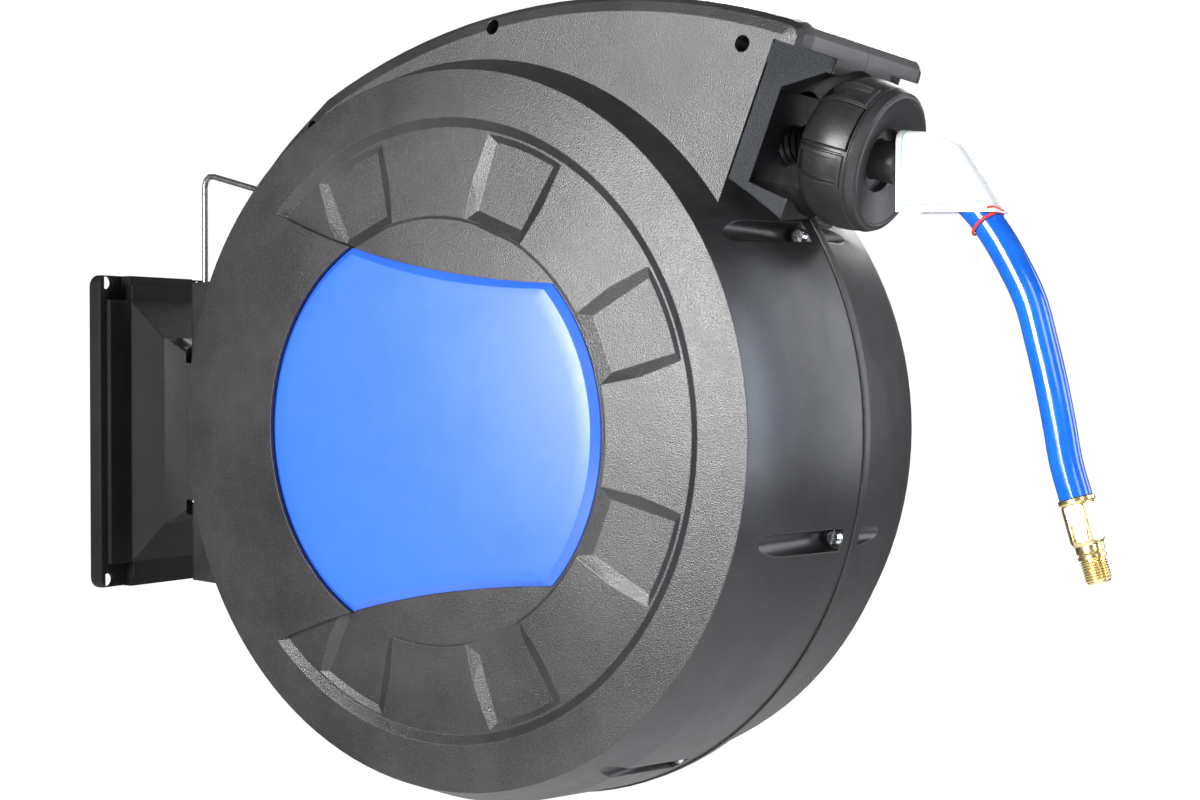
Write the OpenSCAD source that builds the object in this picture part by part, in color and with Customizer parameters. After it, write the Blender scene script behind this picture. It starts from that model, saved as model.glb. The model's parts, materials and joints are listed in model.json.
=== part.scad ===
// Wall-mounted spring-retractable air hose reel.
// Units are millimetres. X runs out from the wall, Z is up, Y is along the drum axis
// and the badge faces -Y. The origin is the centre of the wall bolt pattern.

/* [Case] */
// radius of the raised ring on the front face
face_radius = 200; // [150:1:260]
// case depth between the two face rims
case_depth = 188; // [150:1:240]
// distance from the wall to the drum axis
axis_reach = 340; // [300:1:420]
// height of the drum axis above the bolt pattern centre
axis_height = 8; // [-20:1:40]
// rise of the domed face at its centre
dome_rise = 16; // [0:1:30]
// wall thickness of the moulded case
case_wall = 3.5; // [2.5:0.1:6]
// depth of the relief inside the face ring
relief_depth = 4; // [2:0.5:8]

/* [Hose] */
// outside diameter of the air hose
hose_diameter = 16.4; // [10:0.1:22]
// bore of the air hose
hose_bore = 9.5; // [6:0.1:14]
// height of the hose at the outlet above the drum axis
outlet_height = 149; // [120:1:170]

/* [Drum] */
// radius of the spool hub
hub_radius = 62; // [40:1:90]
// radius of the spool flanges
flange_radius = 166; // [120:1:180]
// clear width between the flanges
spool_width = 120; // [80:1:140]
// radius of the fixed axle tube
axle_radius = 9; // [6:0.1:14]

/* [Wall bracket] */
// distance from the wall to the hinge pin
hinge_reach = 55; // [40:1:80]
// radius of the hinge pin
pin_radius = 2; // [2:0.1:6]
// bolt spacing across the bracket
bolt_spacing_y = 83; // [60:1:120]
// bolt spacing up the bracket
bolt_spacing_z = 204; // [140:1:260]
// radius of each bolt hole
bolt_hole_radius = 4.5; // [2:0.1:6]

/* [Hidden] */
$fn = 64;
run = 0.05;
zf = case_depth/2;
zc = zf - 28;
r_mid = face_radius + 16.5;
r_crease = face_radius + 10.5;
hood_z = zf - 21;
hr = hose_diameter/2;
// screw channels round the rim, and the screw holes in the hood's side
channels = [30, -15, -60, -105, -147];
hood_holes = [[47.2, 271], [84, 226], [122.5, 213]];
// mouth plane: centre on the hose line, tilted back at the top
m_x = 193.2;
m_tilt = 22;
roller_s = [-24.2, 9.2];
// hose stopper: centre on the case drawing, and how far its axis dips
stop_at = [208.5, 150, 0];
stop_tilt = 18;
function dome(r) = zf + dome_rise*(1 - pow(r/face_radius, 2));
function arc_pts(cx, cy, r, a0, a1, n) = [for (i = [0:n]) let (a = a0 + (a1 - a0)*i/n) [cx + r*cos(a), cy + r*sin(a)]];

module place() { translate([axis_reach, 0, axis_height]) rotate([90, 0, 0]) children(); }
module at_mouth() { translate([m_x, outlet_height, 0]) rotate([0, 0, -m_tilt]) children(); }
module at_stopper() { translate(stop_at) rotate([0, 0, -stop_tilt]) children(); }
module at_channels() { for (a = channels) rotate(a) children(); }

// ---------- case outlines, drawn as seen from the front ----------
module hood_2d() {
  polygon(concat(
    [[0, 0]],
    [[-192, 104]],
    arc_pts(0, 0, face_radius + 22, 151, 120, 11),
    arc_pts(68, -173, 409, 115.2, 69.6, 20),
    [[214.6, 208.2], [217.6, 205], [218.8, 200.6], [217.8, 196], [214.4, 191.6], [208.6, 188.5], [174.5, 104], [150, 40]]));
}
module band_2d() {
  difference() {
    translate([-face_radius, -face_radius]) square([face_radius*1.0, 2*face_radius]);
    bites_2d();
  }
}
module bites_2d(g = 0) { for (s = [-1, 1]) translate([121, s*710]) circle(631 + g, $fn = 240); }
module sector_2d(a, w, r0, r1, n = 8) {
  polygon(concat(arc_pts(0, 0, r0, a - w/2, a + w/2, n), arc_pts(0, 0, r1, a + w/2, a - w/2, n)));
}

// outside of one half case as a turned solid
module drum_case(g = 0, step = 16) {
  rotate_extrude($fn = 120) polygon(concat(
    [[0, 0], [r_mid - g, 0], [r_crease - g, zc - g*0.3], [face_radius - g*0.8, zf - g]],
    [for (r = [face_radius - step:-step:step]) [r, dome(r) - g]],
    [[0, dome(0) - g]]));
}
module hood_block() {
  hull() {
    linear_extrude(hood_z - 12) hood_2d();
    translate([0, 0, hood_z - 5]) linear_extrude(0.1) offset(delta = -1.6) hood_2d();
    translate([0, 0, hood_z - 2]) linear_extrude(0.1) offset(delta = -4.2) hood_2d();
    translate([0, 0, hood_z - 0.1]) linear_extrude(0.1) offset(delta = -10) hood_2d();
  }
}
module mouth_chamfer() {
  // flat bevel down the outlet's side and the square lip in front of it
  at_mouth() translate([0, 0, hood_z]) rotate([0, 45, 0]) translate([-7.2, -110, -30]) cube([40, 160, 60]);
}
module mouth_block() {
  difference() {
    at_mouth() translate([-22, -120, -1]) cube([60, 200, 100]);
    translate([0, 0, -2]) cylinder(r = flange_radius + 6, h = 110, $fn = 96);
  }
}
module hood_core() {
  difference() {
    linear_extrude(hood_z - case_wall) offset(delta = -case_wall) hood_2d();
    mouth_block();
    for (p = hood_holes) rotate(p[0]) translate([p[1], 0, -1]) cylinder(r = 7.5, h = 200, $fn = 24);
  }
}
module funnel() {
  at_mouth() {
    hull() {
      translate([0.5, -26, -1]) cube([0.5, 68, 60]);
      translate([-16, -23, -1]) cube([0.5, 49, 43]);
    }
    translate([-24, -23, -1]) cube([10, 49, 43]);
    hull() {
      translate([0, -26, -1]) cube([30, 68, 60]);
      translate([1, -26, -1]) cube([1, 68, 60]);
    }
  }
}
module screw_channel(z0 = 9) {
  translate([r_mid - 5.5, 0, z0]) cylinder(r = 6.2, h = zc + 13 - z0, $fn = 24);
  translate([r_mid - 5.5, 0, zc + 13]) sphere(6.2, $fn = 24);
  translate([r_mid - 5.5, -6.2, z0]) cube([20, 12.4, zc + 6 - z0]);
}
module channel_wall() {
  translate([r_mid - 6, 0, 0]) cylinder(r = 8.8, h = zc + 18, $fn = 24);
}
module pads() {
  // raised pads stay between six deeper pockets with sloping sides
  for (k = [-3, -2, -1, 0, 1, 2]) rotate(22.5 + 45*k) translate([142, 0, dome(142) - relief_depth - 3]) rotate([0, 5, 0]) translate([-142, 0, 0]) hull() {
    linear_extrude(0.1) sector_2d(0, 14.6, 125, 163);
    translate([0, 0, 8]) linear_extrude(0.1) sector_2d(0, 28, 108, 177);
  }
}
module face_relief() {
  // everything inside the ring drops one step, but not the band on the hinge side
  difference() {
    rotate_extrude($fn = 120) polygon(concat(
      [[0, dome(0) - relief_depth]],
      [for (r = [20:20:160]) [r, dome(r) - relief_depth]],
      [[168, dome(168) - relief_depth], [174, dome(174) + 0.6], [174, dome(0) + 10], [0, dome(0) + 10]]));
    difference() {
      translate([0, 0, -1]) linear_extrude(200) band_2d();
      cylinder(r = 117.4, h = 300, $fn = 120);
    }
  }
}

module front_shell() color([0.20, 0.19, 0.19]) place() {
  difference() {
    union() {
      drum_case();
      difference() { hood_block(); mouth_chamfer(); cylinder(r = face_radius + 3.5, h = 300, $fn = 120); }
      difference() { hood_block(); mouth_chamfer(); translate([0, 0, zc - 8]) cylinder(r = 400, h = 300); }
    }
    // inside of the drum case
    difference() {
      translate([0, 0, -0.01]) rotate_extrude($fn = 96) polygon([
        [0, 0], [r_mid - case_wall, 0], [r_crease - case_wall, zc - 1], [face_radius - case_wall, zf - 6],
        [170, dome(170) - case_wall - 2.5], [166, dome(166) - relief_depth - 7.6], [118, dome(118) - relief_depth - 10.5],
        [112, dome(112) - relief_depth - case_wall - 2], [60, dome(60) - relief_depth - case_wall], [0, dome(0) - relief_depth - case_wall]]);
      at_channels() channel_wall();
      translate([0, 0, 66]) cylinder(r = 15, h = 60);
      translate([pawl_at[0], pawl_at[1], 72]) cylinder(r = 6, h = 60, $fn = 24);
      mouth_block();
    }
    translate([0, 0, -0.01]) hood_core();
    translate([0, 0, -1]) cylinder(r = axle_radius + 0.05, h = 86);
    translate([pawl_at[0], pawl_at[1], 60]) cylinder(r = 2.52, h = 30.5, $fn = 24);
    face_relief();
    difference() {
      union() {
        pads();
        rotate_extrude($fn = 120) polygon([[117.3, dome(118) - relief_depth + 0.3], [118.3, dome(118) - relief_depth - 0.8], [119.3, dome(118) - relief_depth + 0.3], [119.3, dome(118)], [117.3, dome(118)]]);
      }
      translate([0, 0, -1]) linear_extrude(200) band_2d();
    }
    // trapezoid flat on the hinge side of the face
    translate([-141, 0, dome(141)]) rotate([0, 9, 0]) translate([-80, 0, 0]) linear_extrude(20)
      polygon([[80, -33], [80, 33], [28, 58], [0, 62], [0, -62], [28, -58]]);
    funnel();
    for (a = channels) rotate(a) screw_channel();
    for (a = channels) rotate(a) translate([r_mid - 5.5, 0, -1]) cylinder(r = 2.2, h = 20, $fn = 16);
    // three deep screw holes near the edge of the hood's side
    for (p = hood_holes) rotate(p[0]) translate([p[1], 0, hood_z - 34]) cylinder(r = 4.2, h = 60, $fn = 24);
    for (p = hood_holes) rotate(p[0]) translate([p[1], 0, hood_z - 41]) cylinder(r = 1.65, h = 9, $fn = 16);
    translate(stop_at) sphere(42, $fn = 72);
  }
}

module rear_shell() color([0.20, 0.19, 0.19]) place() mirror([0, 0, 1]) {
  difference() {
    union() {
      drum_case();
      difference() { hood_block(); mouth_chamfer(); }
      rotate_extrude($fn = 120) polygon([[r_mid - 2, 0], [r_mid + 1, 0], [r_mid + 1, 6], [r_mid - 2, 7]]);
    }
    difference() {
      translate([0, 0, -0.01]) rotate_extrude($fn = 96) polygon([
        [0, 0], [r_mid - case_wall, 0], [r_crease - case_wall, zc - 1], [face_radius - case_wall, zf - 6],
        [172, dome(172) - case_wall - 1.5], [160, dome(160) - relief_depth - case_wall], [60, dome(60) - relief_depth - case_wall], [0, dome(0) - relief_depth - case_wall]]);
      at_channels() channel_wall();
      translate([0, 0, 90]) cylinder(r = 22, h = 60);
      mouth_block();
    }
    translate([0, 0, -0.01]) hood_core();
    // relief inside the ring, with eight ribs left standing
    difference() {
      rotate_extrude($fn = 120) polygon(concat(
        [[34, dome(34) - relief_depth]],
        [for (r = [60:20:160]) [r, dome(r) - relief_depth]],
        [[168, dome(168) - relief_depth], [174, dome(174) + 0.6], [174, dome(0) + 10], [34, dome(0) + 10]]));
      for (k = [0:7]) rotate(22.5 + 45*k) translate([0, -4, 0]) cube([180, 8, 300]);
    }
    translate([0, 0, -1]) cylinder(r = axle_radius + 0.05, h = 200);
    funnel();
    for (a = channels) rotate(a) hull() {
      translate([r_mid - 4, 0, 9]) cylinder(r = 5, h = 1, $fn = 20);
      translate([r_mid + 6, 0, 9]) cylinder(r = 5, h = 1, $fn = 20);
      translate([r_mid + 4, 0, 62]) cylinder(r = 2, h = 8, $fn = 20);
    }
    for (a = channels) rotate(a) translate([r_mid - 5.5, 0, -1]) cylinder(r = 1.7, h = 14, $fn = 16);
    translate(stop_at) sphere(42, $fn = 72);
  }
}

module badge() color([0.10, 0.33, 0.80]) place() {
  difference() {
    rotate_extrude($fn = 120) polygon(concat(
      [for (r = [0:20:100]) [r, dome(r) - relief_depth + 0.05]],
      [[117, dome(117) - relief_depth + 0.05], [117, dome(117) - 2.2], [113.6, dome(113.6)]],
      [for (r = [95:-19:0]) [r, dome(r)]]));
    translate([0, 0, -1]) linear_extrude(200) bites_2d(0.4);
  }
}

module pan_screw(len, r = 1.9, head = 4.6) {
  cylinder(r = r, h = len + 0.5, $fn = 12);
  translate([0, 0, len]) difference() {
    cylinder(r1 = head, r2 = head*0.72, h = 3, $fn = 20);
    for (a = [0, 90]) rotate(a) translate([-head, -0.5, 1.6]) cube([2*head, 1, 3]);
  }
}
module case_screws() color([0.75, 0.76, 0.78]) place() {
  for (a = channels) rotate(a) translate([r_mid - 5.5, 0, -10]) pan_screw(19, 1.65);
  for (p = hood_holes) rotate(p[0]) translate([p[1], 0, hood_z - 40]) pan_screw(6.02, 1.6, 3.6);
}

// ---------- outlet ----------
module mouth_frame() color([0.07, 0.07, 0.08]) place() at_mouth() {
  difference() {
    translate([-54, -46, -46]) cube([31.9, 72, 92]);
    translate([-60, -38, -36]) cube([35.8, 56, 72]);
    translate([-30, -3, 0]) rotate([0, 90, 0]) cylinder(r = 11, h = 10, $fn = 40);
    for (s = roller_s) translate([-32, s, -42]) cylinder(r = 1.8, h = 84, $fn = 16);
    for (z = [-15.2, 15.2]) translate([-46.6, -44, z]) rotate([-90, 0, 0]) cylinder(r = 1.8, h = 64, $fn = 16);
    for (z = [-39, 39], s = [-17, 12]) translate([-26, s, z]) rotate([0, 90, 0]) cylinder(r = 1.45, h = 6, $fn = 16);
  }
}
module roller_pins() color([0.72, 0.73, 0.75]) place() at_mouth() {
  for (s = roller_s) translate([-32, s, -41.9]) cylinder(r = 1.8, h = 83.8, $fn = 16);
  for (z = [-15.2, 15.2]) translate([-46.6, -43.9, z]) rotate([-90, 0, 0]) cylinder(r = 1.8, h = 63.8, $fn = 16);
}
module frame_screws() color([0.75, 0.76, 0.78]) place() at_mouth() {
  for (z = [-39, 39], s = [-17, 12]) translate([-25.5, s, z]) rotate([0, 90, 0]) pan_screw(3.42, 1.4, 2.7);
}
module roller(len) {
  difference() {
    union() {
      cylinder(r = 6, h = len, center = true, $fn = 28);
      for (s = [-1, 1]) translate([0, 0, s*(len/2 - 1.5)]) cylinder(r = 6.8, h = 3, center = true, $fn = 28);
    }
    cylinder(r = 1.8 + run, h = len + 2, center = true, $fn = 28);
  }
}
module roller_upper() color([0.12, 0.12, 0.13]) place() at_mouth() translate([-32, roller_s[1], 0]) roller(70);
module roller_lower() color([0.12, 0.12, 0.13]) place() at_mouth() translate([-32, roller_s[0], 0]) roller(70);
module roller_near() color([0.12, 0.12, 0.13]) place() at_mouth() translate([-46.6, -14, 15.2]) rotate([90, 0, 0]) roller(46);
module roller_far() color([0.12, 0.12, 0.13]) place() at_mouth() translate([-46.6, -14, -15.2]) rotate([90, 0, 0]) roller(46);

// ---------- hose stopper ----------
module stopper_whole() at_stopper() difference() {
  // turned about X
  rotate([0, 90, 0]) rotate_extrude($fn = 72) polygon([[9.9, -20], [20, -20], [27.5, -16], [34, -11], [38, -5], [40, 1], [40.2, 9], [38.5, 18],
    [36.2, 23.6], [35.2, 24.6], [33.4, 24.6], [33.4, 21.4], [19, 12.4], [hr + 0.05, 12.4], [hr + 0.05, -8]]);
  // slots between the panels
  for (k = [0:7]) rotate([45*k + 12, 0, 0]) translate([-26, -1.1, 37.4]) cube([54, 2.2, 10]);
  // recessed windows in every other panel
  for (k = [0:3]) rotate([90*k + 34.5, 0, 0]) hull() {
    translate([-10, -6, 36.6]) cube([27, 12, 0.1]);
    translate([-11, -9, 44]) cube([29, 18, 0.1]);
  }
  // clamp screws go in from the far side
  for (s = [-1, 1]) translate([-4, s*22, -60]) { cylinder(r = 1.8, h = 80, $fn = 16); cylinder(r = 4.2, h = 40, $fn = 20); }
}
module stopper_near() color([0.09, 0.09, 0.09]) place() intersection() {
  stopper_whole();
  translate([150, outlet_height - 60, 0.05]) cube([120, 120, 60]);
}
module stopper_far() color([0.09, 0.09, 0.09]) place() intersection() {
  stopper_whole();
  translate([150, outlet_height - 60, -60]) cube([120, 120, 59.95]);
}
module stopper_nose() color([0.09, 0.09, 0.09]) place() at_stopper() rotate([0, 90, 0])
  rotate_extrude($fn = 72) polygon([[hr + 0.1, 12.5], [19, 12.5], [33.3, 21.5], [33.3, 24.6], [32.4, 25], [17.6, 19.9], [16.6, 19.2], [16.2, 15.2],
    [11, 15.2], [10.6, 16], [10.5, 29], [9.8, 29.8], [hr + 0.1, 29.8]]);
module stopper_screws() color([0.72, 0.73, 0.75]) place() at_stopper()
  for (s = [-1, 1]) translate([-4, s*22, -24]) { translate([0, 0, 4]) cylinder(r = 1.75, h = 38, $fn = 16); translate([0, 0, 1.03]) cylinder(r = 3.6, h = 2.98, $fn = 20); }

// ---------- hose ----------
function vsub(a, b) = [a[0] - b[0], a[1] - b[1], a[2] - b[2]];
function unit(v) = v/norm(v);
function bez(p0, p1, p2, p3, t) = pow(1 - t, 3)*p0 + 3*pow(1 - t, 2)*t*p1 + 3*(1 - t)*t*t*p2 + t*t*t*p3;
// tube swept along a list of points that all lie near the XZ plane
module tube_on(pts, r, n = 12) {
  m = len(pts);
  fr = [for (i = [0:m - 1]) let (a = pts[max(0, i - 1)], b = pts[min(m - 1, i + 1)], t = unit(vsub(b, a)), s = unit(cross([0, 1, 0], t))) [pts[i], s, cross(t, s)]];
  polyhedron(
    points = [for (i = [0:m - 1], k = [0:n - 1]) fr[i][0] + r*cos(360*k/n)*fr[i][1] + r*sin(360*k/n)*fr[i][2]],
    faces = concat([[for (k = [0:n - 1]) k]], [[for (k = [n - 1:-1:0]) (m - 1)*n + k]],
      [for (i = [0:m - 2], k = [0:n - 1]) let (k2 = (k + 1)%n) [i*n + k, (i + 1)*n + k, (i + 1)*n + k2, i*n + k2]]));
}
// the free tail, from the stopper's nose to the brass ferrule
tail = [[555.2, 0, 155.8], [565.6, 0, 152.4], [576.1, 0, 149], [585.2, 0, 146.1], [597.9, 0, 140.7], [609.5, 0, 133.3], [619.7, 0, 124], [628.1, 0, 113.2], [637.5, 0, 98], [648, 0, 77], [654, 0, 56], [659, 0, 36], [663.4, 0, 15], [666.89, 0, -3.74], [672, 0, -21]];
module hose_tail() color([0.05, 0.30, 0.75]) tube_on(tail, hr, 12);
module along_end(d) {
  // frame at the hose's free end, Z along the hose
  translate([672, 0, -21]) rotate([0, 180 - 16.5, 0]) translate([0, 0, d]) children();
}
module hose_ferrule() color([0.80, 0.62, 0.25]) along_end(0.05) difference() {
  union() {
    cylinder(r = 9.1, h = 2.6, $fn = 40);
    translate([0, 0, 2.5]) cylinder(r = 9.0, h = 20.6, $fn = 6);
    translate([0, 0, 23]) cylinder(r = 7.4, h = 1, $fn = 32);
  }
  translate([0, 0, -1]) cylinder(r = 5.2, h = 30, $fn = 32);
}
module hose_fitting() color([0.80, 0.62, 0.25]) along_end(0) difference() {
  union() {
    translate([0, 0, 3]) cylinder(r = 5.18, h = 22, $fn = 32);
    translate([0, 0, 24.1]) cylinder(r = 7, h = 7, $fn = 32);
    translate([0, 0, 31]) cylinder(r = 6.58, h = 12, $fn = 48);
  }
  translate([0, 0, -1]) cylinder(r = 3.6, h = 60, $fn = 24);
}
tag_2d = [[578.5, 167], [590, 165.4], [599, 162.6], [610.4, 157.8], [618.6, 145.5], [630.9, 125.7], [634.2, 121], [579.3, 123.8]];
module hang_tag() color([0.95, 0.95, 0.94]) {
  // a folded paper label that hangs over the hose
  for (s = [-1, 1]) translate([0, s*8.9 + 0.2, 0]) rotate([90, 0, 0]) linear_extrude(0.4) polygon(tag_2d);
  rotate([90, 0, 0]) translate([0, 0, -9.1]) linear_extrude(18.2) polygon([[578.5, 167], [590, 165.4], [599, 162.6], [599, 162.1], [590, 164.9], [578.5, 166.5]]);
}
module tag_tie() color([0.85, 0.2, 0.2]) translate([625.6, 0, 116.8]) rotate([0, -38, 0]) rotate_extrude($fn = 36) translate([hr + 1.1, 0]) circle(0.8, $fn = 8);
module hose_lead() color([0.05, 0.30, 0.75]) place() {
  p = [[-13, 130.5, 0], [60.15, 140.41, 0], [133.29, 150.31, 0], [169.87, 155.26, 0], [177.69, 155.88, 0], [185.54, 155.62, 0], [193.3, 154.48, 0], [200.89, 152.47, 0], [215.16, 147.84, 0]];
  rotate([-90, 0, 0]) tube_on([for (q = p) [q[0], q[2], q[1]]], hr, 14);
}
module wound_hose() color([0.05, 0.30, 0.75]) place() {
  // four layers of seven turns, each a ring, held as one solid
  w = spool_width/7;
  rotate_extrude($fn = 64) {
    difference() {
      union() {
        translate([hub_radius + 0.1, -spool_width/2 + 1.2]) square([4*14.1 - 6, spool_width - 2.4]);
        for (i = [0:6]) translate([hub_radius + 0.1 + 3.45*14.1, -spool_width/2 + w*(i + 0.5)]) circle(hr, $fn = 14);
      }
    }
  }
}

// ---------- drum ----------
module drum_spool() color([0.12, 0.12, 0.13]) place() {
  difference() {
    union() {
      cylinder(r = hub_radius, h = spool_width + 8, center = true, $fn = 72);
      translate([0, 0, spool_width/2]) cylinder(r = flange_radius, h = 4, $fn = 96);
    }
    translate([0, 0, -spool_width/2 + 2]) cylinder(r = hub_radius - 4, h = spool_width - 8, $fn = 72);
    translate([0, 0, -80]) cylinder(r = 14, h = 160);
    for (k = [0:5]) rotate(60*k) translate([0, 0, spool_width/2 - 1]) linear_extrude(8) sector_2d(0, 38, 86, 148);
    // the hose passes through the hub wall to the swivel
    translate([0, 44, -56]) rotate([0, 90, 0]) cylinder(r = 9, h = 70);
  }
}
module drum_flange() color([0.12, 0.12, 0.13]) place() difference() {
  translate([0, 0, -spool_width/2 - 4]) cylinder(r = flange_radius, h = 3.95, $fn = 96);
  cylinder(r = hub_radius + 0.05, h = 300, center = true, $fn = 72);
  for (k = [0:5]) rotate(60*k) translate([0, 0, -spool_width/2 - 5]) linear_extrude(8) sector_2d(0, 38, 86, 148);
}
module drum_bushes() color([0.85, 0.83, 0.76]) place() for (z = [-spool_width/2 - 4, spool_width/2 - 6.2]) translate([0, 0, z]) difference() {
  cylinder(r = 14, h = 6.0 + (z > 0 ? 4.2 : 0), $fn = 48);
  translate([0, 0, -1]) cylinder(r = axle_radius + run, h = 20, $fn = 64);
}
module spring_cover() color([0.62, 0.63, 0.65]) place() translate([0, 0, spool_width/2 + 4.05]) difference() {
  cylinder(r = 58, h = 1.5, $fn = 64);
  translate([0, 0, -1]) cylinder(r = 16, h = 5);
}
module power_spring() color([0.35, 0.37, 0.42]) place() translate([0, 0, -26]) linear_extrude(56) {
  n = 9*20;
  a = [for (i = [0:n]) let (t = i/n, r = 10.2 + 44.5*t, q = 360*9*t) [r*cos(q), r*sin(q)]];
  b = [for (i = [n:-1:0]) let (t = i/n, r = 11.6 + 44.5*t, q = 360*9*t) [r*cos(q), r*sin(q)]];
  polygon(concat(a, b));
}
module ratchet_ring() color([0.62, 0.63, 0.65]) place() translate([0, 0, spool_width/2 + 4.05]) linear_extrude(5) difference() {
  circle(78, $fn = 96);
  circle(64, $fn = 72);
  for (k = [0:11]) rotate(30*k + 90) translate([70.5, -3.5]) polygon([[0, -3], [12, -3.5], [12, 11], [4, 7]]);
}
module hub_elbow() color([0.80, 0.62, 0.25]) place() {
  difference() {
    union() {
      translate([0, 0, -84]) cylinder(r = 16, h = 19.9, $fn = 40);
      translate([0, 0, -74.2]) rotate([-90, 0, 0]) cylinder(r = 7, h = 54, $fn = 24);
    }
    translate([0, 0, -90]) cylinder(r = axle_radius + run, h = 40, $fn = 64);
    translate([0, 9, -74.2]) rotate([-90, 0, 0]) cylinder(r = 3.5, h = 60, $fn = 20);
  }
}
module axle_tube() color([0.62, 0.63, 0.65]) place() difference() {
  translate([0, 0, -101]) cylinder(r = axle_radius, h = 185, $fn = 64);
  translate([0, 0, -102]) cylinder(r = 4.5, h = 36, $fn = 32);
  translate([0, 0, -74.2]) rotate([-90, 0, 0]) cylinder(r = 3, h = 20, $fn = 16);
  for (z = [-82, -68.6]) translate([0, 0, z]) rotate_extrude($fn = 48) translate([6.9, 0]) square([4, 2.2]);
}
module seal_rings() color([0.05, 0.05, 0.05]) place() for (z = [-80.9, -67.5]) translate([0, 0, z]) rotate_extrude($fn = 48) translate([7.92, 0]) circle(1.0, $fn = 12);
module inlet_stem() color([0.80, 0.62, 0.25]) place() mirror([0, 0, 1]) difference() {
  union() {
    translate([0, 0, 101.05]) cylinder(r = 9, h = 2.4, $fn = 40);
    translate([0, 0, 92]) cylinder(r = 4.48, h = 12, $fn = 32);
    translate([0, 0, 103.4]) cylinder(r = 8.6, h = 6, $fn = 6);
    translate([0, 0, 109.3]) cylinder(r = 6.58, h = 14, $fn = 48);
  }
  translate([0, 0, 80]) cylinder(r = 3, h = 60, $fn = 24);
}
pawl_at = [26, 92];
module ratchet_pawl() color([0.62, 0.63, 0.65]) place() translate([0, 0, spool_width/2 + 4.3]) difference() {
  union() {
    translate(pawl_at) cylinder(r = 7, h = 4.6, $fn = 28);
    linear_extrude(4.6) polygon([[28, 86.5], [5, 84.5], [2, 80.2], [-2.5, 80.2], [-4, 86], [24, 98.2]]);
  }
  translate([pawl_at[0], pawl_at[1], -1]) cylinder(r = 2.5 + run, h = 10, $fn = 32);
}
module pawl_pin() color([0.72, 0.73, 0.75]) place() translate([pawl_at[0], pawl_at[1], spool_width/2 + 4.2]) cylinder(r = 2.5, h = 25.8, $fn = 32);
module pawl_spring() color([0.35, 0.37, 0.42]) place() translate([pawl_at[0], pawl_at[1], spool_width/2 + 9.8]) rotate_extrude($fn = 24) translate([3.4, 0]) circle(0.6, $fn = 8);

// ---------- wall bracket and hinge ----------
module wall_bracket() color([0.22, 0.21, 0.21]) difference() {
  union() {
    hull() for (y = [-46, 46], z = [-99, 99]) translate([0, y, z]) rotate([0, 90, 0]) cylinder(r = 8, h = 11, $fn = 24);
    hull() for (y = [-40, 40], z = [-93, 93]) translate([0, y, z]) rotate([0, 90, 0]) cylinder(r = 8, h = 14, $fn = 24);
    hull() {
      translate([13, -30, -90]) cube([1, 60, 180]);
      translate([30, -15, -64]) cube([1, 30, 128]);
    }
    hull() {
      translate([30, -15, -64]) cube([1, 30, 128]);
      translate([hinge_reach - 8, -9, -47]) cube([1, 18, 94]);
      translate([hinge_reach, 0, -47]) cylinder(r = 9, h = 94, $fn = 40);
    }
  }
  // pockets round the four bolts
  for (y = [-1, 1], z = [-1, 1]) translate([3, y*bolt_spacing_y/2, z*bolt_spacing_z/2]) {
    translate([0, -11 - y*2, -10 - z*2]) cube([20, 22, 20]);
    rotate([0, 90, 0]) cylinder(r = bolt_hole_radius, h = 20, center = true, $fn = 40);
  }
  translate([hinge_reach, 0, -60]) cylinder(r = 5, h = 120, $fn = 40);
  // room for the two lugs to swing
  for (z = [-75, 47]) translate([hinge_reach, 0, z]) cylinder(r = 13, h = 28, $fn = 48);
}
module hinge_bushes() color([0.85, 0.83, 0.76]) for (s = [-1, 1]) translate([hinge_reach, 0, 0]) mirror([0, 0, s < 0 ? 1 : 0]) difference() {
  union() {
    translate([0, 0, 32]) cylinder(r = 5, h = 15.1, $fn = 40);
    translate([0, 0, 47.05]) cylinder(r = 9, h = 1.6, $fn = 40);
  }
  translate([0, 0, 30]) cylinder(r = pin_radius + run, h = 30, $fn = 64);
}
module hinge_yoke() color([0.20, 0.19, 0.19]) difference() {
  union() {
    // saddle that hugs the case
    place() intersection() {
      difference() {
        translate([0, 0, -34]) cylinder(r = r_mid + 6.5, h = 68, $fn = 120);
        translate([0, 0, -40]) cylinder(r = r_mid + 1.05, h = 80, $fn = 120);
      }
      translate([-240, -104, -40]) cube([120, 203, 80]);
    }
    for (z = [-102, 49.5]) translate([0, 0, z]) {
      linear_extrude(52.5) polygon([[hinge_reach, -9], [hinge_reach, 9], [142, 26], [142, -26]]);
      translate([hinge_reach, 0, 0]) cylinder(r = 9, h = 52.5, $fn = 40);
    }
  }
  place() translate([0, 0, -60]) cylinder(r = r_mid + 1.05, h = 120, $fn = 120);
  translate([hinge_reach, 0, -98]) cylinder(r = pin_radius + run, h = 250, $fn = 64);
  place() for (a = [157, 203], z = [-30, 30]) rotate(a) translate([r_mid, 0, z]) rotate([0, 90, 0]) cylinder(r = 1.65, h = 9, $fn = 16);
}
module yoke_screws() color([0.75, 0.76, 0.78]) place() for (a = [157, 203], z = [-30, 30])
  rotate(a) translate([r_mid + 3, 0, z]) rotate([0, 90, 0]) pan_screw(3.52, 1.6, 4);
module pivot_pin() color([0.62, 0.63, 0.65]) {
  translate([hinge_reach, 0, -97.9]) cylinder(r = pin_radius, h = 263.9, $fn = 48);
  // bent top that serves as a handle
  tube_on([[hinge_reach, 0, 158], [hinge_reach, 0, 168], [hinge_reach + 1.2, 0, 172], [hinge_reach + 4.6, 0, 174.6],
    [hinge_reach + 9, 0, 174.4], [hinge_reach + 57, 0, 161.5]], pin_radius*0.985, 24);
}

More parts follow.
